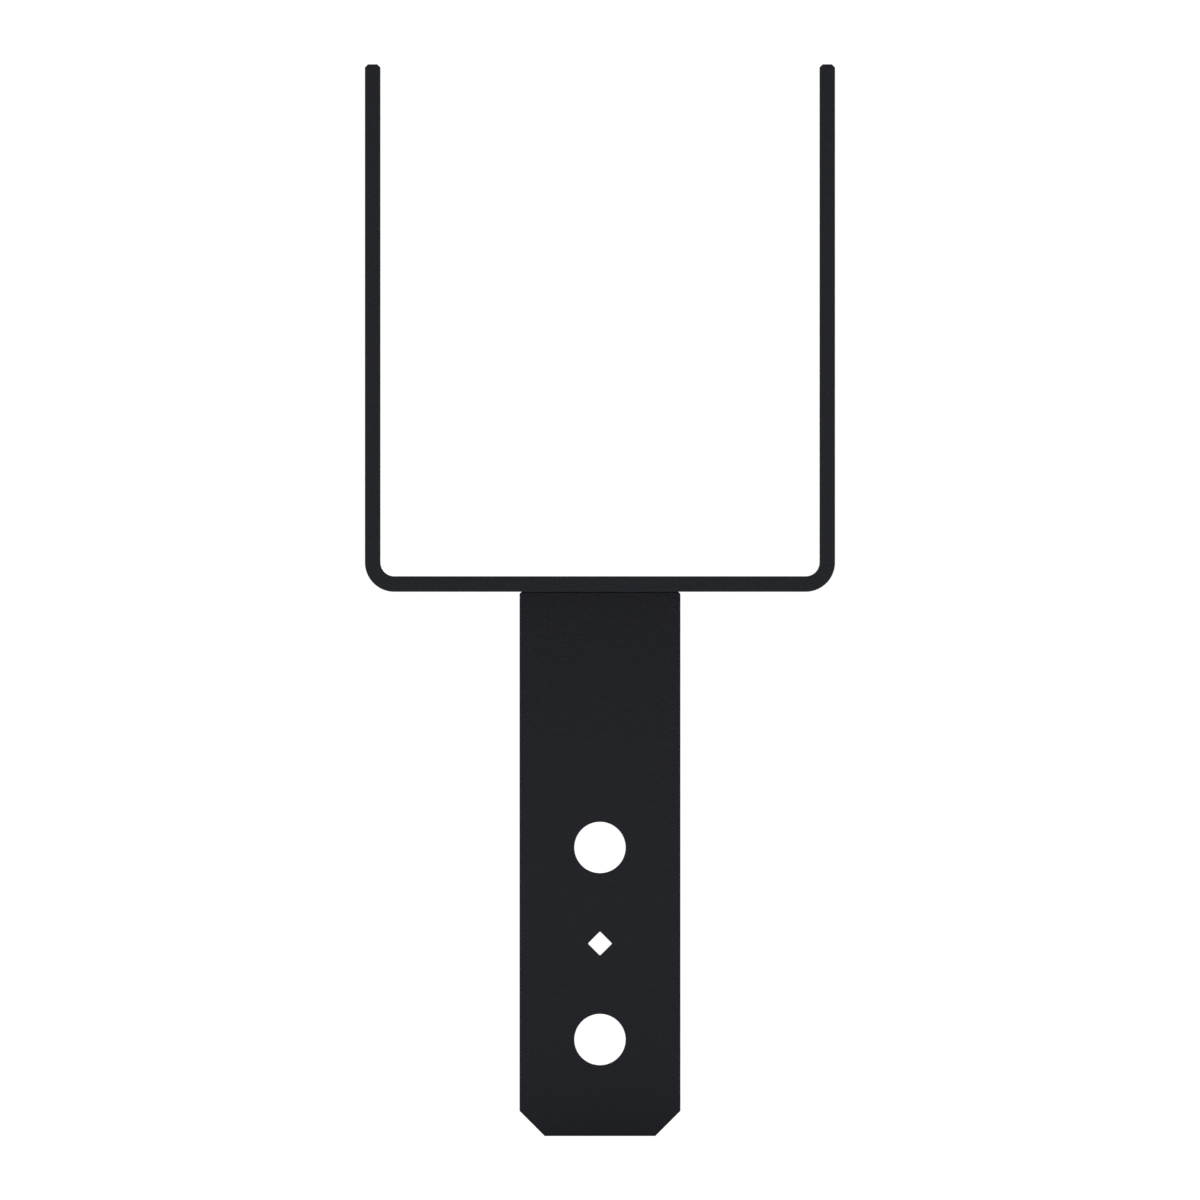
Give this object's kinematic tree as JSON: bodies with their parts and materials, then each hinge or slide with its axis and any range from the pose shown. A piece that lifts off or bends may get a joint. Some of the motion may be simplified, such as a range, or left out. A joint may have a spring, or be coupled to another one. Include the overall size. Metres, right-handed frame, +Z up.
{
  "type": "column cap",
  "caption": "Column cap: a folded steel saddle holds a timber beam, and drilled straps below it bolt to the post.",
  "frame": {"origin": "centre of the beam's seat, the upper face of the saddle's base", "axes": "+Z up, X across the beam from side plate to side plate, Y along the beam"},
  "size_m": [0.1496, 0.2794, 0.341],
  "materials": {
    "plate_coat": "satin black powder coat on flat plate",
    "weld_coat": "satin black powder coat over rippled weld"
  },
  "bodies": {
    "root": {"beam_saddle": "plate_coat", "front_post_strap": "plate_coat", "back_post_strap": "plate_coat", "front_weld_bead": "weld_coat", "back_weld_bead": "weld_coat"}
  },
  "joints": []
}
